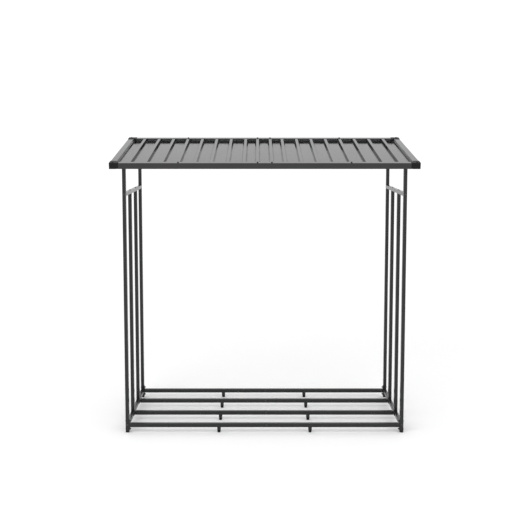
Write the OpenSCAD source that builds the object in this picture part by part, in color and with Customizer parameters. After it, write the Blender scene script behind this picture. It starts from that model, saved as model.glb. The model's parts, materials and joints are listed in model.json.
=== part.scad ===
// Firewood log rack with a single-slope ribbed metal roof, in millimetres.
// Z is up, the front faces -Y, left is -X, and the origin is on the floor below the centre.

/* [Frame] */
// Width over the outer faces of the posts
frame_w = 1744; // [1600:1:1800]
// Depth over the outer faces of the posts
frame_d = 692; // [600:1:720]
// Height of the front posts, which carry the front roof beam
front_post_h = 1659; // [1550:1:1900]
// Height of the top face of the side top rails
top_rail_z = 1511; // [1200:1:1520]
// Height of the top faces of the floor rails and side bottom rails
floor_z = 59; // [52:1:90]
// Distance between the two bars of a side frame
bar_spacing = 234; // [180:1:300]
// Distance of the support feet from the middle of the rack
support_x = 286; // [200:1:600]

/* [Tube] */
// Outside width of the square frame tube
tube = 22; // [20:1:24]
// Height of the floor rails and the roof beams
beam_h = 25; // [22:1:28]
// Wall thickness of the tubes
wall = 1.2; // [1:0.1:1.5]
// Outside corner radius of the tubes
tube_r = 1.7; // [1.6:0.1:2.5]

/* [Roof] */
// Width over the corner caps
roof_w = 1883; // [1840:1:1900]
// Length along the slope, over the corner caps
roof_len = 809; // [760:1:860]
// Slope of the roof, which rises to the rear
slope = 10.5; // [6:0.5:14]
// Height of the corner caps, which is the thickness of the roof edge
roof_t = 38.5; // [36:0.5:42]
// Thickness of the roof sheets
sheet_t = 0.8; // [0.6:0.1:1]
// Height of a rib
rib_h = 17; // [14:0.5:17]
// Width of a rib along its top
rib_top = 18; // [14:1:22]
// Width of a rib along its foot
rib_foot = 34; // [28:1:40]
// Distance from rib to rib
rib_pitch = 100; // [96:1:101]
// Distance of the first rib from the middle of the roof
first_rib = 43.5; // [40:0.5:46]
// Distance from the first rib to the second
first_pitch = 82; // [78:1:95]

/* [Fascia] */
// Width of a fascia channel's top flange
fascia_flange = 35; // [30:1:38]
// Width of a fascia channel's lower lip
fascia_lip = 14; // [10:1:18]
// Height of the hem that hangs from a side fascia's top flange
fascia_hem = 9; // [7:0.5:11]
// Thickness of the fascia channels
fascia_t = 1.2; // [1:0.1:1.5]
// Length of a corner cap's leg along the front or rear edge
cap_leg_x = 55; // [50:1:70]
// Length of a corner cap's leg along a side edge
cap_leg_y = 59; // [50:1:70]

/* [Fasteners] */
// Diameter of the frame bolts
bolt_d = 6; // [5:1:6]
// Distance of the end plate bolts from the middle of their floor rail
plate_bolt_offset = 25; // [22:1:28]

/* [Hidden] */
$fn = 32;

paint = [0.20, 0.21, 0.22];
sheet_paint = [0.62, 0.63, 0.64];
plastic = [0.09, 0.09, 0.09];
steel = [0.15, 0.15, 0.15];

// Small distances: a cut that runs past a face, a cut through one sheet or flange,
// a running fit, a plug's clearance all round, a seam between butted halves
over = 1;
pierce = 4;
fit = 0.2;
plug_fit = 0.4;
seam = 0.3;

// Frame positions
post_x = (frame_w - tube) / 2;
post_y = (frame_d - tube) / 2;
inner_x = post_x - tube / 2;
inner_y = post_y - tube / 2;
bar_y = bar_spacing / 2;
rear_post_h = front_post_h + tan(slope) * 2 * post_y;
top_rail_mid = top_rail_z - tube / 2;
bottom_rail_mid = floor_z - tube / 2;
floor_mid = floor_z - beam_h / 2;
bore = tube - 2 * wall;

// Feet
foot_h = 9;
sole_h = 1.5;
sole_w = 20;
foot_plug_h = 15;
tip_h = 17;
tip_w = 16;
tip_plug_h = 15;

// Welded inserts and plates
insert_t = 3;
plate_t = 3;
plate_len = 70;
spigot_half = 60;
joint_bolt_x = 12;

// Fasteners
bolt_r = bolt_d / 2;
hole_play = 0.3;
thread_play = 0.05;
hole_r = bolt_r + hole_play;
thread_r = bolt_r + thread_play;
head_r = bolt_d;
head_h = 3.4;
head_rim = 0.9;
dome_h = head_h - head_rim;
dome_r = (head_r * head_r + dome_h * dome_h) / (2 * dome_h);
socket_r = 2.3;
socket_depth = 2;
nut_flat_r = bolt_d - 1;
nut_r = nut_flat_r / cos(180 / 6);
nut_chamfer = 30;
nut_h = 5;
thread_end = 3;
insert_bolt_len = 14;
plate_bolt_len = tube + plate_t + nut_h + thread_end;
access_r = 7.5;
screw_r = 2.1;
screw_hole_r = 2.3;
screw_len = 16;
screw_flange_r = 5.4;
screw_flange_h = 0.9;
washer_r = 7;
washer_h = 1.2;
screw_hex_r = 4.6;
screw_hex_h = 4;
roof_screw_len = 16;
rivet_r = 1.6;
rivet_hole_r = 1.7;
rivet_xs = [20, 60];
rivet_y = 7;
rivet_head_r = 3;
rivet_head_h = 1.1;

// Beam splice and end plugs
splice_t = 2;
splice_half = 78;
splice_wall_h = 20;
splice_bolt_x = 40;
plug_lid = 2;
plug_depth = 3.5;

// Roof frame: y runs up the slope and z stands square to it, with z = 0 at the cap tops
cap_t = 2;
cap_flange = fascia_flange + cap_t;
cap_lip = fascia_lip + cap_t;
cap_chamfer = 9;
fascia_h = roof_t - cap_t;
corner_gap = 1;
sheet_gap = 2.3;
edge_step = 8;
fascia_x = roof_w / 2 - cap_t;
fascia_y = roof_len / 2 - cap_t;
rib_gap = 0.5;
pan_z = -cap_t - fascia_t - rib_gap - rib_h;
sheet_z = pan_z - sheet_t;
roof_y = -roof_t * sin(slope) / 2;
roof_z = front_post_h + beam_h + tan(slope) * (frame_d / 2 + roof_y) - sheet_z / cos(slope);
sheet_x = fascia_x - fascia_t - sheet_gap;
sheet_half = fascia_y - fascia_t - sheet_gap;
edge_top_x = fascia_x - fascia_flange - edge_step;
edge_h = rib_h + fascia_t - fascia_hem;
rib_run = (rib_foot - rib_top) / 2;
edge_run = rib_run * edge_h / rib_h;
rib_angle = atan2(rib_h, rib_run);
fold = sheet_t * tan(rib_angle / 2);
lap = 15;
lap_step = 2;
lap_gap = 0.1;
lap_rise = sheet_t + lap_gap;
rib_count = floor((edge_top_x - first_rib - first_pitch - rib_foot) / rib_pitch) + 1;
ribs = [first_rib, for (i = [0 : rib_count - 1]) first_rib + first_pitch + i * rib_pitch];
outer_screw_rib = 5;
screw_ribs = [ribs[0], ribs[outer_screw_rib]];
screw_row = fascia_y - fascia_flange / 2;
cap_screw_x = fascia_x - fascia_flange / 2;
screw_xs = [each screw_ribs, cap_screw_x];
pan_screws = [0, for (i = [1 : 2 : rib_count - 1]) ribs[i] + rib_pitch / 2];
joiner_half = 78;
joiner_t = 1.2;
joiner_lip = 11;
joiner_gap = 0.1;

// Placement helpers
module along_x() rotate([90, 0, 90]) children();
module along_y() rotate([-90, 0, 0]) children();

module side(s) {
    if (s < 0) mirror([1, 0, 0]) children();
    else children();
}

module row(s) {
    if (s < 0) children();
    else mirror([0, 1, 0]) children();
}

module on_roof() translate([0, roof_y, roof_z]) rotate([slope, 0, 0]) children();

// Tube sections, centred, with round corners
module rounded_rect(w, h, r) {
    square([w - 2 * r, h], center = true);
    square([w, h - 2 * r], center = true);
    for (i = [-1, 1], j = [-1, 1])
        translate([i * (w / 2 - r), j * (h / 2 - r)]) circle(r = r);
}

module tube_section(w, h) {
    difference() {
        rounded_rect(w, h, tube_r);
        rounded_rect(w - 2 * wall, h - 2 * wall, tube_r - wall);
    }
}

module tube_run(len, w, h) linear_extrude(height = len) tube_section(w, h);

// A plate welded just inside a tube end, with a threaded hole; z = 0 is the tube's end
module end_insert(w, h) {
    translate([0, 0, -insert_t]) linear_extrude(height = insert_t) difference() {
        rounded_rect(w - 2 * wall, h - 2 * wall, tube_r - wall);
        circle(r = thread_r);
    }
}

// Fasteners: z = 0 is the underside of the head and the shank runs along +Z
module button_bolt(len) {
    difference() {
        union() {
            intersection() {
                translate([0, 0, -head_h]) cylinder(r = head_r, h = head_h);
                translate([0, 0, dome_r - head_h]) sphere(r = dome_r);
            }
            cylinder(r = bolt_r, h = len);
        }
        translate([0, 0, -head_h - over])
            cylinder(r = socket_r, h = socket_depth + over, $fn = 6);
    }
}

// A nut whose outer corners are turned down
module hex_nut() {
    difference() {
        intersection() {
            cylinder(r = nut_r, h = nut_h, $fn = 6);
            cylinder(r1 = nut_flat_r + nut_h / tan(nut_chamfer), r2 = nut_flat_r, h = nut_h);
        }
        translate([0, 0, -over]) cylinder(r = thread_r, h = nut_h + 2 * over);
    }
}

// A hex screw; z = 0 is the underside of its flange or washer, and the shank runs along -Z
module hex_screw(len, flange_r, flange_h) {
    translate([0, 0, -len]) cylinder(r = screw_r, h = len);
    cylinder(r = flange_r, h = flange_h);
    translate([0, 0, flange_h]) cylinder(r = screw_hex_r, h = screw_hex_h, $fn = 6);
}

module flange_screw() hex_screw(screw_len, screw_flange_r, screw_flange_h);

module roofing_screw() hex_screw(roof_screw_len, washer_r, washer_h);

module rivet() {
    cylinder(r = rivet_r, h = 3 * joiner_t);
    translate([0, 0, -rivet_head_h]) cylinder(r1 = rivet_r, r2 = rivet_head_r, h = rivet_head_h);
}

// Posts, built at the front right and mirrored to the other corners
module post(s, r, h) {
    color(paint) side(s) row(r) translate([post_x, -post_y, 0]) difference() {
        union() {
            translate([0, 0, foot_h]) tube_run(h - foot_h, tube, tube);
            translate([0, 0, h]) end_insert(tube, tube);
        }
        for (z = [bottom_rail_mid, top_rail_mid])
            translate([0, -tube / 2 - over, z]) along_y()
                cylinder(r = hole_r, h = tube + 2 * over);
        for (d = [-1, 1])
            translate([-tube / 2 - over, 0, floor_mid + d * plate_bolt_offset]) along_x()
                cylinder(r = hole_r, h = tube + 2 * over);
    }
}

module post_foot(s, r) {
    color(plastic) side(s) row(r) translate([post_x, -post_y, 0]) {
        translate([-sole_w / 2, -sole_w / 2, 0]) cube([sole_w, sole_w, sole_h]);
        translate([0, 0, sole_h]) linear_extrude(height = foot_h - sole_h)
            rounded_rect(tube, tube, tube_r);
        translate([0, 0, foot_h]) linear_extrude(height = foot_plug_h)
            square(bore - 2 * plug_fit, center = true);
    }
}

// Side frames, built on the right and mirrored to the left
module side_rail(s, z) {
    color(paint) side(s) translate([post_x, 0, z]) difference() {
        union() {
            translate([0, -inner_y, 0]) along_y() tube_run(2 * inner_y, tube, tube);
            for (r = [-1, 1]) row(r) translate([0, -inner_y, 0])
                along_y() mirror([0, 0, 1]) end_insert(tube, tube);
        }
        for (y = [-bar_y, bar_y])
            translate([0, y, -tube / 2 - over]) cylinder(r = hole_r, h = tube + 2 * over);
        if (z < top_rail_mid)
            for (y = [-bar_y, bar_y], d = [-1, 1])
                translate([-tube / 2 - over, y + d * plate_bolt_offset, 0]) along_x()
                    cylinder(r = hole_r, h = tube + 2 * over);
    }
}

module side_bar(s, r) {
    bar_top = top_rail_z - tube;
    color(paint) side(s) row(r) translate([post_x, -bar_y, 0]) {
        translate([0, 0, floor_z]) tube_run(bar_top - floor_z, tube, tube);
        translate([0, 0, bar_top]) end_insert(tube, tube);
        translate([0, 0, floor_z]) mirror([0, 0, 1]) end_insert(tube, tube);
    }
}

// Each floor rail's place in depth, the height of its middle, and whether its end plates
// stand up against the posts or lie along the side bottom rails
rails = [[-post_y, floor_mid, true], [-bar_y, bottom_rail_mid, false],
    [bar_y, bottom_rail_mid, false], [post_y, floor_mid, true]];

module spigot() {
    w = bore;
    h = beam_h - 2 * wall;
    inner = tube_r - wall;
    along_x() {
        linear_extrude(height = spigot_half) difference() {
            rounded_rect(w, h, inner);
            square([w - 2 * wall, h - 2 * wall], center = true);
        }
        translate([0, 0, -spigot_half]) linear_extrude(height = spigot_half) difference() {
            square([w - 2 * fit, h - 2 * fit], center = true);
            square([w - 2 * wall, h - 2 * wall], center = true);
        }
    }
}

// Floor rails in two halves, built as the right half and mirrored to the left
module floor_rail_half(s, rail) {
    color(paint) translate([0, rail[0], rail[1]]) side(s) difference() {
        union() {
            translate([seam / 2, 0, 0]) along_x()
                tube_run(inner_x - plate_t - seam / 2, tube, beam_h);
            if (s < 0) spigot();
        }
        translate([s * joint_bolt_x, -tube / 2 - over, 0]) along_y()
            cylinder(r = hole_r, h = tube + 2 * over);
    }
}

module floor_end_plates() {
    color(paint)
        for (s = [-1, 1], rail = rails)
            side(s) translate([inner_x - plate_t, rail[0], rail[1]]) along_x()
                linear_extrude(height = plate_t) difference() {
                    square(rail[2] ? [tube, plate_len] : [plate_len, tube], center = true);
                    for (d = [-1, 1])
                        translate(d * plate_bolt_offset * (rail[2] ? [0, 1] : [1, 0]))
                            circle(r = hole_r);
                }
}

module support_legs() {
    color(paint)
        for (s = [-1, 1], rail = rails)
            translate([s * support_x, rail[0], tip_h])
                tube_run(rail[1] - beam_h / 2 - tip_h, tube, tube);
}

module support_foot_tips() {
    color(plastic)
        for (s = [-1, 1], rail = rails)
            translate([s * support_x, rail[0], 0]) {
                linear_extrude(height = tip_h, scale = tube / tip_w)
                    square(tip_w, center = true);
                translate([0, 0, tip_h]) linear_extrude(height = tip_plug_h)
                    square(bore - 2 * plug_fit, center = true);
            }
}

// Roof beams in two halves, built as the right half; z = 0 is the beam's underside
module beam_place(s, r) {
    z = r < 0 ? front_post_h : rear_post_h;
    translate([0, r * post_y, z]) side(s) children();
}

module roof_beam(s, r) {
    color(paint) difference() {
        beam_place(s, r) difference() {
            translate([seam / 2, 0, beam_h / 2]) along_x()
                tube_run(frame_w / 2 - seam / 2, tube, beam_h);
            translate([post_x, 0, -over]) cylinder(r = hole_r, h = beam_h / 2);
            translate([post_x, 0, beam_h / 2]) cylinder(r = access_r, h = beam_h);
            translate([splice_bolt_x, -tube / 2 - over, beam_h / 2]) along_y()
                cylinder(r = hole_r, h = tube + 2 * over);
        }
        on_roof() for (x = pan_screws)
            translate([s * x, beam_screw_y(r), sheet_z - roof_screw_len])
                cylinder(r = screw_hole_r, h = 2 * roof_screw_len);
    }
}

module beam_end_plugs() {
    color(plastic)
        for (s = [-1, 1], r = [-1, 1])
            beam_place(s, r) translate([frame_w / 2 - plug_depth, 0, beam_h / 2]) along_x() {
                linear_extrude(height = plug_depth)
                    square([bore, beam_h - 2 * wall] - 2 * plug_fit * [1, 1], center = true);
                translate([0, 0, plug_depth]) linear_extrude(height = plug_lid)
                    rounded_rect(tube, beam_h, tube_r);
            }
}

// A saddle that holds the two halves of a roof beam from below
module beam_splice(r) {
    outer = tube / 2 + splice_t;
    color(paint) beam_place(1, r) difference() {
        translate([-splice_half, -outer, -splice_t])
            cube([2 * splice_half, 2 * outer, splice_wall_h + splice_t]);
        translate([-splice_half - over, -tube / 2, 0])
            cube([2 * splice_half + 2 * over, tube, splice_wall_h + over]);
        for (x = [-splice_bolt_x, splice_bolt_x])
            translate([x, -outer - over, beam_h / 2]) along_y()
                cylinder(r = hole_r, h = 2 * outer + 2 * over);
    }
}

// Where a screw square to the roof meets the middle of a beam's top
function beam_screw_y(r) = (r * post_y - roof_y + sheet_z * sin(slope)) / cos(slope);

// Roof sheets: the upper outline from the lap at the middle to the raised outer edge
function rib_points(c, top, foot, z, h) =
    [[c - foot, z], [c - top, z + h], [c + top, z + h], [c + foot, z]];

function outline(lapped, shift, z) = concat(
    lapped
        ? [[-lap, z + lap_rise], [lap + lap_step, z + lap_rise], [lap + 2 * lap_step, z]]
        : [[-lap, z]],
    [for (c = ribs) each rib_points(c, rib_top / 2 - shift, rib_foot / 2 - shift, z, rib_h)],
    [[edge_top_x - edge_run + shift, z], [edge_top_x + shift, z + edge_h], [sheet_x, z + edge_h]]);

function reversed(list) = [for (i = [len(list) - 1 : -1 : 0]) list[i]];

module roof_sheet(s) {
    color(sheet_paint) on_roof() side(s) difference() {
        rotate([90, 0, 0]) linear_extrude(height = 2 * sheet_half, center = true)
            polygon(concat(outline(s > 0, 0, pan_z), reversed(outline(s > 0, fold, sheet_z))));
        for (r = [-1, 1]) {
            for (x = pan_screws)
                translate([x, beam_screw_y(r), sheet_z - over])
                    cylinder(r = screw_hole_r, h = pierce);
            for (x = screw_xs)
                translate([x, r * screw_row, pan_z + edge_h / 2])
                    cylinder(r = screw_hole_r, h = rib_h);
        }
    }
}

// Fascia channels: the section's web is at x = 0 and the channel opens to +x
module channel_section(hem) {
    inside = fascia_flange - fascia_t;
    polygon(concat(
        [[0, 0], [fascia_flange, 0]],
        hem > 0
            ? [[fascia_flange, -hem], [inside, -hem], [inside, -fascia_t]]
            : [[fascia_flange, -fascia_t]],
        [[fascia_t, -fascia_t], [fascia_t, fascia_t - fascia_h],
            [fascia_lip, fascia_t - fascia_h], [fascia_lip, -fascia_h], [0, -fascia_h]]));
}

// The room for the lower lips of the corner caps, whose undersides are flush with the fascia
module cap_lip_room() {
    run = cap_chamfer - cap_t - fit;
    for (s = [-1, 1], r = [-1, 1])
        side(s) row(r) translate([roof_w / 2, -roof_len / 2, -roof_t - over]) {
            translate([run - cap_leg_x, 0, 0]) cube([cap_leg_x, cap_lip + fit, over + cap_t]);
            translate([-cap_lip - fit, 0, 0]) cube([cap_lip + fit, cap_leg_y - run, over + cap_t]);
        }
}

module fascia_half(s, r) {
    len = fascia_x - fascia_flange - corner_gap - seam / 2;
    color(paint) on_roof() side(s) row(r) difference() {
        translate([seam / 2, -fascia_y, -cap_t]) along_x()
            linear_extrude(height = len) channel_section(0);
        for (x = screw_ribs)
            translate([x, -screw_row, -cap_t - pierce / 2])
                cylinder(r = screw_hole_r, h = pierce);
        for (x = rivet_xs)
            translate([x, rivet_y - fascia_y, -fascia_h - cap_t - over])
                cylinder(r = rivet_hole_r, h = pierce);
        cap_lip_room();
    }
}

module fascia_side(s) {
    len = 2 * fascia_y - 2 * fit;
    color(paint) on_roof() side(s) difference() {
        translate([fascia_x, 0, -cap_t]) mirror([1, 0, 0]) rotate([90, 0, 0])
            linear_extrude(height = len, center = true) channel_section(fascia_hem);
        for (r = [-1, 1])
            translate([cap_screw_x, r * screw_row, -cap_t - pierce / 2])
                cylinder(r = screw_hole_r, h = pierce);
        cap_lip_room();
    }
}

// A strip inside the fascia that joins its two halves, riveted through the lower lip
module fascia_joiner(r) {
    inside = fascia_t + joiner_gap;
    lip_z = -cap_t - fascia_h + inside;
    color(paint) on_roof() row(r) translate([0, -fascia_y, 0]) difference() {
        translate([-joiner_half, 0, 0]) along_x() linear_extrude(height = 2 * joiner_half)
            polygon([[inside, -cap_t - fascia_t - rib_gap], [inside + joiner_t,
                -cap_t - fascia_t - rib_gap], [inside + joiner_t, lip_z + joiner_t],
                [joiner_lip, lip_z + joiner_t], [joiner_lip, lip_z], [inside, lip_z]]);
        for (s = [-1, 1], x = rivet_xs)
            translate([s * x, rivet_y, lip_z - over]) cylinder(r = rivet_hole_r, h = pierce);
    }
}

// Corner caps, built at the front right corner with its outer corner at the origin
module cap_leg(len, wide) {
    difference() {
        union() {
            translate([0, 0, -roof_t]) cube([len, cap_t, roof_t]);
            translate([0, 0, -cap_t]) cube([len, cap_flange, cap_t]);
            translate([0, 0, -roof_t]) cube([len, wide, cap_t]);
        }
        translate([len - cap_chamfer, -over, -roof_t]) rotate([0, -45, 0])
            translate([0, 0, -2 * cap_chamfer])
                cube([2 * cap_chamfer, cap_flange + 2 * over, 2 * cap_chamfer]);
    }
}

module corner_cap(s, r) {
    color(plastic) on_roof() side(s) row(r) difference() {
        translate([roof_w / 2, -roof_len / 2, 0]) {
            mirror([1, 0, 0]) cap_leg(cap_leg_x, cap_lip);
            rotate([0, 0, 90]) cap_leg(cap_leg_y, cap_lip);
        }
        translate([cap_screw_x, -screw_row, -cap_t - over])
            cylinder(r = screw_hole_r, h = cap_t + 2 * over);
    }
}

// Bolts through the posts into the ends of the side rails
module side_rail_bolts() {
    color(steel)
        for (s = [-1, 1], r = [-1, 1], z = [bottom_rail_mid, top_rail_mid])
            side(s) row(r) translate([post_x, -post_y - tube / 2, z]) along_y()
                button_bolt(tube + insert_bolt_len);
}

// Bolts through the side rails into the ends of the bars, from above and from below
module side_bar_bolts() {
    color(steel)
        for (s = [-1, 1], r = [-1, 1])
            side(s) row(r) translate([post_x, -bar_y, 0]) {
                translate([0, 0, top_rail_z]) mirror([0, 0, 1])
                    button_bolt(tube + insert_bolt_len);
                translate([0, 0, floor_z - tube]) button_bolt(tube + insert_bolt_len);
            }
}

// The places of the end plate bolts: x = 0 is the outer face of the post or side rail
module plate_bolt_places() {
    for (s = [-1, 1], r = [-1, 1], d = [-1, 1])
        side(s) row(r) {
            translate([frame_w / 2, -post_y, floor_mid + d * plate_bolt_offset]) children();
            translate([frame_w / 2, -bar_y + d * plate_bolt_offset, bottom_rail_mid]) children();
        }
}

module floor_plate_bolts() {
    color(steel) plate_bolt_places() rotate([0, -90, 0]) button_bolt(plate_bolt_len);
}

module floor_plate_nuts() {
    color(steel) plate_bolt_places() rotate([0, -90, 0])
        translate([0, 0, tube + plate_t]) hex_nut();
}

module rail_joint_bolts() {
    color(steel)
        for (rail = rails)
            translate([joint_bolt_x, rail[0] - tube / 2, rail[1]]) along_y()
                button_bolt(tube + nut_h + thread_end);
}

module rail_joint_nuts() {
    color(steel)
        for (rail = rails)
            translate([joint_bolt_x, rail[0] + tube / 2, rail[1]]) along_y() hex_nut();
}

// Bolts inside the beam ends, which hold the beams down on the posts
module beam_post_bolts() {
    color(steel)
        for (s = [-1, 1], r = [-1, 1])
            beam_place(s, r) translate([post_x, 0, wall]) mirror([0, 0, 1])
                button_bolt(insert_bolt_len);
}

module splice_bolt_places() {
    for (s = [-1, 1], r = [-1, 1])
        translate([s * splice_bolt_x, 0, r < 0 ? front_post_h : rear_post_h])
            row(r) translate([0, -post_y - tube / 2 - splice_t, beam_h / 2]) along_y() children();
}

module splice_bolts() {
    color(steel) splice_bolt_places()
        button_bolt(tube + 2 * splice_t + nut_h + thread_end);
}

module splice_nuts() {
    color(steel) splice_bolt_places() translate([0, 0, tube + 2 * splice_t]) hex_nut();
}

// Roofing screws through the pans into the beams; the one at the middle clamps the lap
module sheet_screws() {
    color(steel) on_roof()
        for (r = [-1, 1], s = [-1, 1], x = pan_screws)
            if (x > 0 || s > 0)
                translate([s * x, beam_screw_y(r), pan_z + (x > 0 ? 0 : lap_rise)])
                    roofing_screw();
}

module fascia_screws() {
    color(steel) on_roof()
        for (s = [-1, 1], r = [-1, 1]) {
            for (x = screw_ribs) translate([s * x, r * screw_row, -cap_t]) flange_screw();
            translate([s * cap_screw_x, r * screw_row, 0]) flange_screw();
        }
}

module joiner_rivets() {
    color(steel) on_roof()
        for (r = [-1, 1], s = [-1, 1], x = rivet_xs)
            row(r) translate([s * x, rivet_y - fascia_y, -cap_t - fascia_h]) rivet();
}

post(-1, -1, front_post_h);  // post_front_left
post(1, -1, front_post_h);  // post_front_right
post(-1, 1, rear_post_h);  // post_rear_left
post(1, 1, rear_post_h);  // post_rear_right
post_foot(-1, -1);  // post_foot_front_left
post_foot(1, -1);  // post_foot_front_right
post_foot(-1, 1);  // post_foot_rear_left
post_foot(1, 1);  // post_foot_rear_right
side_rail(-1, top_rail_mid);  // top_rail_left
side_rail(1, top_rail_mid);  // top_rail_right
side_rail(-1, bottom_rail_mid);  // bottom_rail_left
side_rail(1, bottom_rail_mid);  // bottom_rail_right
side_bar(-1, -1);  // side_bar_front_left
side_bar(1, -1);  // side_bar_front_right
side_bar(-1, 1);  // side_bar_rear_left
side_bar(1, 1);  // side_bar_rear_right
floor_rail_half(-1, rails[0]);  // floor_rail_front_left
floor_rail_half(1, rails[0]);  // floor_rail_front_right
floor_rail_half(-1, rails[1]);  // floor_rail_mid_front_left
floor_rail_half(1, rails[1]);  // floor_rail_mid_front_right
floor_rail_half(-1, rails[2]);  // floor_rail_mid_rear_left
floor_rail_half(1, rails[2]);  // floor_rail_mid_rear_right
floor_rail_half(-1, rails[3]);  // floor_rail_rear_left
floor_rail_half(1, rails[3]);  // floor_rail_rear_right
floor_end_plates();
support_legs();
support_foot_tips();
roof_beam(-1, -1);  // roof_beam_front_left
roof_beam(1, -1);  // roof_beam_front_right
roof_beam(-1, 1);  // roof_beam_rear_left
roof_beam(1, 1);  // roof_beam_rear_right
beam_end_plugs();
beam_splice(-1);  // beam_splice_front
beam_splice(1);  // beam_splice_rear
roof_sheet(-1);  // roof_sheet_left
roof_sheet(1);  // roof_sheet_right
fascia_half(-1, -1);  // fascia_front_left
fascia_half(1, -1);  // fascia_front_right
fascia_half(-1, 1);  // fascia_rear_left
fascia_half(1, 1);  // fascia_rear_right
fascia_side(-1);  // fascia_side_left
fascia_side(1);  // fascia_side_right
fascia_joiner(-1);  // fascia_joiner_front
fascia_joiner(1);  // fascia_joiner_rear
corner_cap(-1, -1);  // corner_cap_front_left
corner_cap(1, -1);  // corner_cap_front_right
corner_cap(-1, 1);  // corner_cap_rear_left
corner_cap(1, 1);  // corner_cap_rear_right
side_rail_bolts();
side_bar_bolts();
floor_plate_bolts();
floor_plate_nuts();
rail_joint_bolts();
rail_joint_nuts();
beam_post_bolts();
splice_bolts();
splice_nuts();
sheet_screws();
fascia_screws();
joiner_rivets();
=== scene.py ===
"""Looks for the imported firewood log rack: finishes, small made details, floor, light and camera.

Everything is in metres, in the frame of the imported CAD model.
"""

import json
import math
import random

import bmesh
import bpy
from mathutils import Matrix, Vector


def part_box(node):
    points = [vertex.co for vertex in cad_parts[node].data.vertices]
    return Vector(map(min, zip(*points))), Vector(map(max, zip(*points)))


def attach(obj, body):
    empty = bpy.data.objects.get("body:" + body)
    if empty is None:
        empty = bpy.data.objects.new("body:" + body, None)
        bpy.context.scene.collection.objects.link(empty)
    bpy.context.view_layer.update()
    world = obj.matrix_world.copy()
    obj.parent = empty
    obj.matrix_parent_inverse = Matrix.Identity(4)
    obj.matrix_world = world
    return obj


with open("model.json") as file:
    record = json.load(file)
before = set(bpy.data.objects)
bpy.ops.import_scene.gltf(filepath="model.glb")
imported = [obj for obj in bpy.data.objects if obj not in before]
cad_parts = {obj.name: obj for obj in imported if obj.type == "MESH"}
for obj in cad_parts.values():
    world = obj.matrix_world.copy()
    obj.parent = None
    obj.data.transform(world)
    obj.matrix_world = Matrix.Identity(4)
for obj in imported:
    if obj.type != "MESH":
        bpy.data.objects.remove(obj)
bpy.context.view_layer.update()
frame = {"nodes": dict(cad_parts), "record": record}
nodes = frame["nodes"]
scene = bpy.context.scene
MM = 0.001

# ------------------------------------------------------------------ node tree helpers


def grey(value):
    """A neutral colour with a faint cool cast, as an RGBA tuple."""
    return (value * 0.97, value, value * 1.04, 1.0)


EDGE_SAMPLES = 4
# How far a rounded normal agrees with the real one, on an open face and at a sharp edge
OPEN_FACE = 0.97
SHARP_EDGE = 0.85


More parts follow.
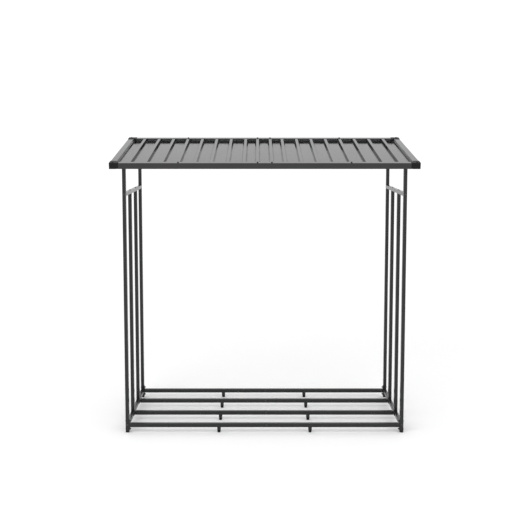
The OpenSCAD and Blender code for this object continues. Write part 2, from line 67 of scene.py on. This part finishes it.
class Shader:
    """A Principled material whose nodes are added one call at a time."""

    def __init__(self, name):
        self.material = bpy.data.materials.new(name)
        self.material.use_nodes = True
        self.tree = self.material.node_tree
        self.bsdf = next(n for n in self.tree.nodes if n.type == "BSDF_PRINCIPLED")
        self.coords = self.tree.nodes.new("ShaderNodeTexCoord").outputs["Object"]

    def set(self, **values):
        """Sets the shader's own sockets, whose names have spaces for underscores."""
        for key, value in values.items():
            self.bsdf.inputs[key.replace("_", " ")].default_value = value

    def link(self, source, target):
        self.tree.links.new(source, target)

    def stretched(self, scale):
        """The object coordinates scaled by three numbers, for streaks."""
        node = self.tree.nodes.new("ShaderNodeMapping")
        node.inputs["Scale"].default_value = scale
        self.link(self.coords, node.inputs["Vector"])
        return node.outputs["Vector"]

    def noise(self, scale, detail=2.0, roughness=0.5, vector=None):
        """Noise with about scale features a metre, mostly between 0.3 and 0.7."""
        node = self.tree.nodes.new("ShaderNodeTexNoise")
        node.inputs["Scale"].default_value = scale
        node.inputs["Detail"].default_value = detail
        node.inputs["Roughness"].default_value = roughness
        self.link(vector or self.coords, node.inputs["Vector"])
        return node.outputs["Fac"]

    def remap(self, source, low, high, to_low, to_high):
        """Takes the range from low to high to the range from to_low to to_high, and clamps."""
        node = self.tree.nodes.new("ShaderNodeMapRange")
        for key, value in (("From Min", low), ("From Max", high),
                           ("To Min", to_low), ("To Max", to_high)):
            node.inputs[key].default_value = value
        self.link(source, node.inputs["Value"])
        return node.outputs["Result"]

    def math(self, operation, a, b):
        """One operation on two values, each a number or a socket."""
        node = self.tree.nodes.new("ShaderNodeMath")
        node.operation = operation
        for socket, value in zip(node.inputs, (a, b)):
            if isinstance(value, (int, float)):
                socket.default_value = value
            else:
                self.link(value, socket)
        return node.outputs["Value"]

    def mix(self, factor, a, b):
        """A colour between a and b."""
        node = self.tree.nodes.new("ShaderNodeMix")
        node.data_type = "RGBA"
        sockets = [s for s in node.inputs if s.type == "RGBA"]
        for socket, value in zip(sockets, (a, b)):
            if isinstance(value, tuple):
                socket.default_value = value
            else:
                self.link(value, socket)
        self.link(factor, node.inputs["Factor"])
        return next(s for s in node.outputs if s.type == "RGBA")

    def facing(self, vector):
        """How far the surface's normal agrees with a vector."""
        geometry = self.tree.nodes.new("ShaderNodeNewGeometry")
        dot = self.tree.nodes.new("ShaderNodeVectorMath")
        dot.operation = "DOT_PRODUCT"
        self.link(geometry.outputs["True Normal"], dot.inputs[0])
        if isinstance(vector, tuple):
            dot.inputs[1].default_value = vector
        else:
            self.link(vector, dot.inputs[1])
        return dot.outputs["Value"]

    def edges(self, radius):
        """1 along sharp edges and 0 on open faces."""
        bevel = self.tree.nodes.new("ShaderNodeBevel")
        bevel.samples = EDGE_SAMPLES
        bevel.inputs["Radius"].default_value = radius
        geometry = self.tree.nodes.new("ShaderNodeNewGeometry")
        dot = self.tree.nodes.new("ShaderNodeVectorMath")
        dot.operation = "DOT_PRODUCT"
        self.link(bevel.outputs["Normal"], dot.inputs[0])
        self.link(geometry.outputs["Normal"], dot.inputs[1])
        return self.remap(dot.outputs["Value"], OPEN_FACE, SHARP_EDGE, 0.0, 1.0)

    def bump(self, *layers):
        """Bump layers, each a height, a strength and a distance in metres."""
        normal = None
        for height, strength, distance in layers:
            node = self.tree.nodes.new("ShaderNodeBump")
            node.inputs["Strength"].default_value = strength
            node.inputs["Distance"].default_value = distance
            self.link(height, node.inputs["Height"])
            if normal:
                self.link(normal, node.inputs["Normal"])
            normal = node.outputs["Normal"]
        self.link(normal, self.bsdf.inputs["Normal"])


# ------------------------------------------------------------------ finishes


def powder_coat():
    """Satin anthracite powder coat: orange peel, fine grain and edges where the coat is thin."""
    s = Shader("powder_coat")
    s.set(IOR=1.43)
    clouds = s.noise(7.0, 3.0, 0.6)
    grain = s.noise(2600.0, 1.0)
    peel = s.noise(620.0, 2.0)
    streaks = s.noise(1.0, 4.0, 0.65, s.stretched((45.0, 45.0, 9.0)))
    base = s.mix(s.remap(clouds, 0.35, 0.65, 0.0, 1.0), grey(0.0085), grey(0.0115))
    speckled = s.mix(s.remap(grain, 0.62, 0.74, 0.0, 1.0), base, grey(0.018))
    worn = s.math("MULTIPLY", s.edges(0.7 * MM), s.remap(streaks, 0.45, 0.7, 0.1, 0.6))
    s.link(s.mix(worn, speckled, grey(0.022)), s.bsdf.inputs["Base Color"])
    s.link(s.remap(streaks, 0.3, 0.7, 0.19, 0.28), s.bsdf.inputs["Roughness"])
    s.bump((peel, 0.15, 0.03 * MM), (grain, 0.12, 0.015 * MM))
    return s.material


def coil_coat(name, reverse, back_tone):
    """Coil-coated thin sheet: satin anthracite outside, a mid-grey back coat inside.

    reverse takes the shader and gives a value that is 1 on the sheet's inner faces, and
    back_tone is how pale these are.
    """
    s = Shader(name)
    s.set(IOR=1.5)
    slack = s.noise(5.5, 2.0, 0.45)
    rolling = s.noise(1.0, 3.0, 0.6, s.stretched((420.0, 2.5, 420.0)))
    fleck = s.noise(1900.0, 1.0)
    rain = s.noise(1.0, 4.0, 0.6, s.stretched((26.0, 3.0, 26.0)))
    base = s.mix(s.remap(slack, 0.3, 0.7, 0.0, 1.0), grey(0.01), grey(0.014))
    lined = s.mix(s.remap(rolling, 0.55, 0.75, 0.0, 0.5), base, grey(0.02))
    worn = s.math("MULTIPLY", s.edges(0.6 * MM), 0.3)
    outside = s.mix(worn, lined, grey(0.04))
    inside = s.mix(s.remap(rolling, 0.35, 0.7, 0.0, 1.0),
                   grey(back_tone * 0.92), grey(back_tone * 1.08))
    back = reverse(s)
    s.link(s.mix(back, outside, inside), s.bsdf.inputs["Base Color"])
    smooth = s.remap(rain, 0.3, 0.7, 0.1, 0.17)
    s.link(s.math("ADD", smooth, s.math("MULTIPLY", back, 0.06)), s.bsdf.inputs["Roughness"])
    s.bump((slack, 0.12, 1.0 * MM), (rolling, 0.12, 0.02 * MM), (fleck, 0.1, 0.01 * MM))
    return s.material


def underside(s):
    """The faces that look down."""
    return s.math("LESS_THAN", s.facing((0.0, 0.0, 1.0)), -0.05)


def inner_web(s):
    """The faces of the roof's edge channels that look towards the middle of the roof."""
    outward = s.stretched((1.0, 1.0, 0.0))
    return s.math("LESS_THAN", s.facing(outward), -0.2)


def moulded_plastic():
    """Black polypropylene with a fine spark-eroded texture and paler scuffed edges."""
    s = Shader("moulded_plastic")
    s.set(IOR=1.45, Specular_IOR_Level=0.22)
    texture = s.noise(1500.0, 3.0, 0.7)
    clouds = s.noise(22.0, 3.0)
    scuffs = s.noise(1.0, 4.0, 0.7, s.stretched((260.0, 90.0, 260.0)))
    base = s.mix(s.remap(clouds, 0.35, 0.65, 0.0, 1.0), grey(0.004), grey(0.006))
    worn = s.math("MULTIPLY", s.edges(1.0 * MM), s.remap(scuffs, 0.4, 0.7, 0.2, 1.0))
    s.link(s.mix(worn, base, grey(0.022)), s.bsdf.inputs["Base Color"])
    s.link(s.remap(texture, 0.3, 0.7, 0.48, 0.62), s.bsdf.inputs["Roughness"])
    s.bump((texture, 0.5, 0.06 * MM))
    return s.material


def black_zinc():
    """Black zinc plate: dark metal with a faint brown cast and bright rubbed edges."""
    s = Shader("black_zinc")
    s.set(Metallic=1.0)
    clouds = s.noise(90.0, 3.0)
    grain = s.noise(2200.0, 2.0)
    base = s.mix(s.remap(clouds, 0.35, 0.65, 0.0, 1.0),
                 (0.055, 0.056, 0.06, 1.0), (0.075, 0.069, 0.063, 1.0))
    worn = s.math("MULTIPLY", s.edges(0.4 * MM), 0.5)
    s.link(s.mix(worn, base, grey(0.2)), s.bsdf.inputs["Base Color"])
    s.link(s.remap(clouds, 0.3, 0.7, 0.3, 0.44), s.bsdf.inputs["Roughness"])
    s.bump((grain, 0.3, 0.015 * MM))
    return s.material


def rubber():
    """Black sealing rubber with a dull, slightly dusty skin."""
    s = Shader("sealing_rubber")
    s.set(Specular_IOR_Level=0.25)
    dust = s.noise(160.0, 3.0, 0.6)
    s.link(s.mix(s.remap(dust, 0.4, 0.7, 0.0, 1.0), grey(0.008), grey(0.016)),
           s.bsdf.inputs["Base Color"])
    s.link(s.remap(dust, 0.3, 0.7, 0.7, 0.82), s.bsdf.inputs["Roughness"])
    s.bump((s.noise(900.0, 2.0), 0.4, 0.04 * MM))
    return s.material


FINISH = {
    "frame_paint": powder_coat(),
    "roof_coating": coil_coat("coil_coat_trim", inner_web, 0.27),
    "black_plastic": moulded_plastic(),
    "dark_fasteners": black_zinc(),
}
SHEET = coil_coat("coil_coat_sheet", underside, 0.24)
RUBBER = rubber()

# ------------------------------------------------------------------ CAD nodes

SMOOTH_ANGLE = math.radians(35)
WELD_DISTANCE = 0.001 * MM
EDGE_SEGMENTS = 2
FULL_FACE_WEIGHT = 100
EDGE_RADIUS = {"frame_paint": 0.35 * MM, "roof_coating": 0.15 * MM,
               "black_plastic": 0.6 * MM, "dark_fasteners": 0.3 * MM}


def shading_group():
    """Geometry nodes that weld split corners, and shade smooth up to SMOOTH_ANGLE."""
    group = bpy.data.node_groups.new("weld_and_shade", "GeometryNodeTree")
    group.interface.new_socket("Geometry", in_out="INPUT", socket_type="NodeSocketGeometry")
    group.interface.new_socket("Geometry", in_out="OUTPUT", socket_type="NodeSocketGeometry")

    def add(kind, **values):
        node = group.nodes.new(kind)
        for key, value in values.items():
            node.inputs[key.replace("_", " ")].default_value = value
        return node

    def shade(domain, smooth):
        node = add("GeometryNodeSetShadeSmooth", Shade_Smooth=smooth)
        node.domain = domain
        return node

    angle = add("GeometryNodeInputMeshEdgeAngle")
    is_sharp = add("ShaderNodeMath")
    is_sharp.operation = "GREATER_THAN"
    is_sharp.inputs[1].default_value = SMOOTH_ANGLE
    sharp_edges = shade("EDGE", False)
    group.links.new(angle.outputs["Unsigned Angle"], is_sharp.inputs[0])
    group.links.new(is_sharp.outputs["Value"], sharp_edges.inputs["Selection"])
    chain = [add("NodeGroupInput"),
             add("GeometryNodeRemoveAttribute", Name="custom_normal"),
             add("GeometryNodeMergeByDistance", Distance=WELD_DISTANCE),
             shade("FACE", True),
             shade("EDGE", True),
             sharp_edges,
             add("NodeGroupOutput")]
    for one, two in zip(chain, chain[1:]):
        group.links.new(one.outputs[0], two.inputs[0])
    return group


SHADING = shading_group()


def soften(obj, width):
    """Welds and shades the mesh, rounds its sharp edges by width and keeps its flats flat."""
    obj.modifiers.new("weld_and_shade", "NODES").node_group = SHADING
    bevel = obj.modifiers.new("soft_edges", "BEVEL")
    bevel.width = width
    bevel.segments = EDGE_SEGMENTS
    bevel.limit_method = "ANGLE"
    bevel.angle_limit = SMOOTH_ANGLE
    flats = obj.modifiers.new("true_flats", "WEIGHTED_NORMAL")
    flats.mode = "FACE_AREA"
    flats.weight = FULL_FACE_WEIGHT
    flats.keep_sharp = True


def finish_nodes():
    """Gives every CAD node its finish and its soft edges."""
    for row in frame["record"]["subparts"]:
        node = nodes[row["node"]]
        slot = row["material_slot"]
        is_sheet = row["node"].startswith("roof_sheet")
        node.data.materials.clear()
        node.data.materials.append(SHEET if is_sheet else FINISH[slot])
        soften(node, EDGE_RADIUS[slot])


finish_nodes()

# ------------------------------------------------------------------ welds, threads and seals


def add_piece(name, bm, material):
    """Turns the bmesh into one smooth piece that rides on the rack."""
    bmesh.ops.recalc_face_normals(bm, faces=bm.faces)
    mesh = bpy.data.meshes.new(name)
    bm.to_mesh(mesh)
    bm.free()
    mesh.shade_smooth()
    mesh.materials.append(material)
    obj = bpy.data.objects.new(name, mesh)
    scene.collection.objects.link(obj)
    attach(obj, "root")


def loft(bm, rings, closed=False):
    """Skins rings of points; the ends get caps, or the last ring joins the first."""
    loops = [[bm.verts.new(point) for point in ring] for ring in rings]
    pairs = list(zip(loops, loops[1:]))
    if closed:
        pairs.append((loops[-1], loops[0]))
    else:
        bm.faces.new(loops[0])
        bm.faces.new(loops[-1])
    for one, two in pairs:
        for i in range(len(one)):
            j = (i + 1) % len(one)
            bm.faces.new((one[i], one[j], two[j], two[i]))


def extent(points):
    """The lowest and the highest corner of a set of points."""
    low = Vector([min(p[i] for p in points) for i in range(3)])
    high = Vector([max(p[i] for p in points) for i in range(3)])
    return low, high


# A weld bead is a row of ripples, each about BEAD_PITCH long and BEAD_LEG high
BEAD_LEG = 3.2 * MM
BEAD_PITCH = 2.4 * MM
BEAD_SINK = 0.4 * MM
BEAD_STEPS = 6
BEAD_ARC = 6
FEWEST_RIPPLES = 4
SMALLEST_RIPPLE = 0.9
LARGEST_RIPPLE = 1.08
RIPPLE_HEIGHT = 0.18
BEAD_FLATNESS = 0.14
BEAD_END_SIZE = 0.55
BEAD_END_GROWTH = 0.5
shuffle = random.Random(7)


def weld_bead(bm, start, end, one, two):
    """A rippled bead from start to end, in the corner between the directions one and two."""
    along = end - start
    ripples = max(FEWEST_RIPPLES, round(along.length / BEAD_PITCH))
    sizes = [shuffle.uniform(SMALLEST_RIPPLE, LARGEST_RIPPLE) for _ in range(ripples)]
    rings = []
    for step in range(ripples * BEAD_STEPS + 1):
        t = step / BEAD_STEPS
        ripple = min(int(t), ripples - 1)
        swell = 1 - RIPPLE_HEIGHT + RIPPLE_HEIGHT * math.sin(math.pi * (t - ripple))
        taper = min(1.0, BEAD_END_SIZE + min(t, ripples - t) * BEAD_END_GROWTH)
        leg = BEAD_LEG * sizes[ripple] * taper * swell
        spot = start + along * (t / ripples)
        ring = [spot - (one + two) * BEAD_SINK]
        for k in range(BEAD_ARC + 1):
            turn = math.pi / 2 * k / BEAD_ARC
            flat = 1 - BEAD_FLATNESS + BEAD_FLATNESS * math.cos(4 * turn)
            ring.append(spot + (one * math.cos(turn) + two * math.sin(turn)) * leg * flat)
        rings.append(ring)
    loft(bm, rings)


def half_width(node):
    """Half of the width of a node's box."""
    low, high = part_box(node)
    return ((high - low) / 2).x


X = Vector((1, 0, 0))
Y = Vector((0, 1, 0))
Z = Vector((0, 0, 1))
TUBE_HALF = half_width("post_front_left")
# A bead stops short of the tube's rounded corners
WELD_INSET = 2.2 * MM
WELD_HALF = TUBE_HALF - WELD_INSET


def frame_welds():
    """Beads where the floor rails meet their end plates and their support legs."""
    bm = bmesh.new()
    leg_outside = half_width("support_legs")
    leg_inside = leg_outside - 2 * TUBE_HALF
    for place in ("front", "mid_front", "mid_rear", "rear"):
        for side, sign in (("left", -1), ("right", 1)):
            low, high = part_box(f"floor_rail_{place}_{side}")
            y = (low.y + high.y) / 2
            end_x = low.x if sign < 0 else high.x
            if place.startswith("mid"):
                # The end plate is wide, so the beads run up the rail's sides
                z = (low.z + high.z) / 2
                for face in (-1, 1):
                    foot = Vector((end_x, y + face * TUBE_HALF, z))
                    weld_bead(bm, foot - Z * WELD_HALF, foot + Z * WELD_HALF,
                              -sign * X, face * Y)
            else:
                # The end plate is tall, so the beads run across the rail's top and bottom
                for z, up in ((low.z, -Z), (high.z, Z)):
                    foot = Vector((end_x, y, z))
                    weld_bead(bm, foot - Y * WELD_HALF, foot + Y * WELD_HALF, -sign * X, up)
            for x, away in ((leg_outside, sign * X), (leg_inside, -sign * X)):
                foot = Vector((sign * x, y, low.z))
                weld_bead(bm, foot - Y * WELD_HALF, foot + Y * WELD_HALF, away, -Z)
    add_piece("frame_welds", bm, FINISH["frame_paint"])


def islands(node):
    """The separate solids of a node, each as a list of points."""
    bm = bmesh.new()
    bm.from_mesh(nodes[node].data)
    bmesh.ops.remove_doubles(bm, verts=bm.verts, dist=WELD_DISTANCE)
    left = set(bm.verts)
    found = []
    while left:
        grown = set()
        edge = [min(left, key=lambda v: v.index)]
        while edge:
            vert = edge.pop()
            if vert not in grown:
                grown.add(vert)
                edge.extend(e.other_vert(vert) for e in vert.link_edges)
        left -= grown
        found.append([v.co.copy() for v in grown])
    bm.free()
    return found


def revolve(bm, place, profile, sides):
    """A closed ring of revolution: profile is a loop of (radius, height) about place's Z."""
    rings = []
    for i in range(sides):
        turn = 2 * math.pi * i / sides
        rings.append([place @ Vector((r * math.cos(turn), r * math.sin(turn), h))
                      for r, h in profile])
    loft(bm, rings, closed=True)


BOLT_RADIUS = 3.0 * MM
# The length of a bolt's end, outside its nut, that carries crests
THREAD_OUT = 2.9 * MM
THREAD_PITCH = 1.0 * MM
# A crest stands THREAD_CREST proud of the bolt, and its foot is THREAD_SINK inside it
THREAD_CREST = 0.22 * MM
THREAD_SINK = 0.2 * MM
CREST_HALF = 0.06 * MM
FOOT_HALF = 0.42 * MM
THREAD_SIDES = 24


def bolt_threads():
    """Thread crests on the bolt ends that stand out of their nuts."""
    bm = bmesh.new()
    for node in ("floor_plate_bolts", "rail_joint_bolts", "splice_bolts"):
        for points in islands(node):
            low, high = extent(points)
            axis = max(range(3), key=lambda i: high[i] - low[i])
            middle = (low + high) / 2
            mean = sum(p[axis] for p in points) / len(points)
            tip, out = (low, -1) if mean > middle[axis] else (high, 1)
            spot = middle.copy()
            spot[axis] = tip[axis] - out * THREAD_OUT
            way = Vector([out if i == axis else 0 for i in range(3)])
            place = Matrix.Translation(spot) @ way.to_track_quat("Z", "Y").to_matrix().to_4x4()
            for turn in range(int(THREAD_OUT / THREAD_PITCH)):
                h = (turn + 0.5) * THREAD_PITCH
                revolve(bm, place, [(BOLT_RADIUS - THREAD_SINK, h - FOOT_HALF),
                                    (BOLT_RADIUS + THREAD_CREST, h - CREST_HALF),
                                    (BOLT_RADIUS + THREAD_CREST, h + CREST_HALF),
                                    (BOLT_RADIUS - THREAD_SINK, h + FOOT_HALF)], THREAD_SIDES)
    add_piece("bolt_threads", bm, FINISH["dark_fasteners"])


ROOF_SLOPE = math.radians(10.5)
# Height of a roofing screw's head and washer over the sheet
SCREW_HEAD = 5.2 * MM
# A seal's section in millimetres: the distance out from the washer's rim and the height
SEAL_SECTION = ((-0.6, 0.02), (0.5, 0.02), (1.0, 0.3), (1.0, 0.6), (0.5, 0.95), (-0.1, 1.0),
                (-0.6, 0.8))
SEAL_SIDES = 40


def screw_seals():
    """Rubber rings that bulge from under the washers of the roofing screws."""
    bm = bmesh.new()
    tilt = Matrix.Rotation(ROOF_SLOPE, 4, "X")
    back = tilt.inverted()
    for points in islands("sheet_screws"):
        low, high = extent([back @ p for p in points])
        spot = Vector(((low.x + high.x) / 2, (low.y + high.y) / 2, high.z - SCREW_HEAD))
        washer = (high.x - low.x) / 2
        profile = [(washer + out * MM, height * MM) for out, height in SEAL_SECTION]
        revolve(bm, tilt @ Matrix.Translation(spot), profile, SEAL_SIDES)
    add_piece("screw_seals", bm, RUBBER)


frame_welds()
bolt_threads()
screw_seals()

# ------------------------------------------------------------------ floor, light and camera

WHITE = (1.0, 1.0, 1.0, 1.0)
BLACK = (0.0, 0.0, 0.0, 1.0)
WORLD_LIGHT = 1.06
FLOOR_HALF = 60.0
# The floor's colour turns into the background's between these distances from the rack
FADE_START = 2.5
FADE_END = 7.0
# Name, place, size and power in watts of each lamp
LAMPS = (("key", (-3.2, -4.0, 5.0), 4.0, 90.0),
         ("fill", (4.5, -2.5, 3.5), 5.0, 40.0))
LAMP_TARGET = Vector((0, 0, 0.9))
SENSOR_WIDTH = 36.0
LENS = 56.2
CAMERA_PLACE = (-0.044, -5.25, 1.89)
CAMERA_PITCH = math.radians(5.0)
CAMERA_SHIFT = -0.11
CAMERA_REACH = 200.0


def floor():
    """A pale floor that turns into the background's white with distance."""
    mesh = bpy.data.meshes.new("studio_floor")
    corners = [(-1, -1), (1, -1), (1, 1), (-1, 1)]
    mesh.from_pydata([(x * FLOOR_HALF, y * FLOOR_HALF, 0) for x, y in corners],
                     [], [(0, 1, 2, 3)])
    obj = bpy.data.objects.new("studio_floor", mesh)
    scene.collection.objects.link(obj)
    s = Shader("studio_floor")
    s.set(Roughness=0.9, Specular_IOR_Level=0.0, Emission_Strength=1.0)
    length = s.tree.nodes.new("ShaderNodeVectorMath")
    length.operation = "LENGTH"
    s.link(s.coords, length.inputs[0])
    far = s.remap(length.outputs["Value"], FADE_START, FADE_END, 0.0, 1.0)
    pale = s.mix(s.noise(1.5, 2.0), (0.9, 0.9, 0.9, 1.0), (0.915, 0.915, 0.915, 1.0))
    s.link(s.mix(far, pale, BLACK), s.bsdf.inputs["Base Color"])
    glow = (WORLD_LIGHT, WORLD_LIGHT, WORLD_LIGHT, 1.0)
    s.link(s.mix(far, BLACK, glow), s.bsdf.inputs["Emission Color"])
    mesh.materials.append(s.material)


def lights():
    """An even white studio, with a key from the left and a weaker fill from the right."""
    world = bpy.data.worlds.new("studio")
    world.use_nodes = True
    background = world.node_tree.nodes["Background"]
    background.inputs["Color"].default_value = WHITE
    background.inputs["Strength"].default_value = WORLD_LIGHT
    scene.world = world
    for name, place, size, power in LAMPS:
        lamp = bpy.data.lights.new(name, "AREA")
        lamp.size = size
        lamp.energy = power
        obj = bpy.data.objects.new(name, lamp)
        obj.location = place
        aim = LAMP_TARGET - obj.location
        obj.rotation_mode = "QUATERNION"
        obj.rotation_quaternion = aim.to_track_quat("-Z", "Y")
        scene.collection.objects.link(obj)


def camera():
    """A camera in front of the rack, a little above its roof and tipped down."""
    data = bpy.data.cameras.new("camera")
    data.sensor_width = SENSOR_WIDTH
    data.lens = LENS
    data.shift_y = CAMERA_SHIFT
    data.clip_end = CAMERA_REACH
    obj = bpy.data.objects.new("camera", data)
    obj.location = CAMERA_PLACE
    obj.rotation_euler = (math.pi / 2 - CAMERA_PITCH, 0, 0)
    scene.collection.objects.link(obj)
    scene.camera = obj


floor()
lights()
camera()
scene.view_settings.view_transform = "Standard"
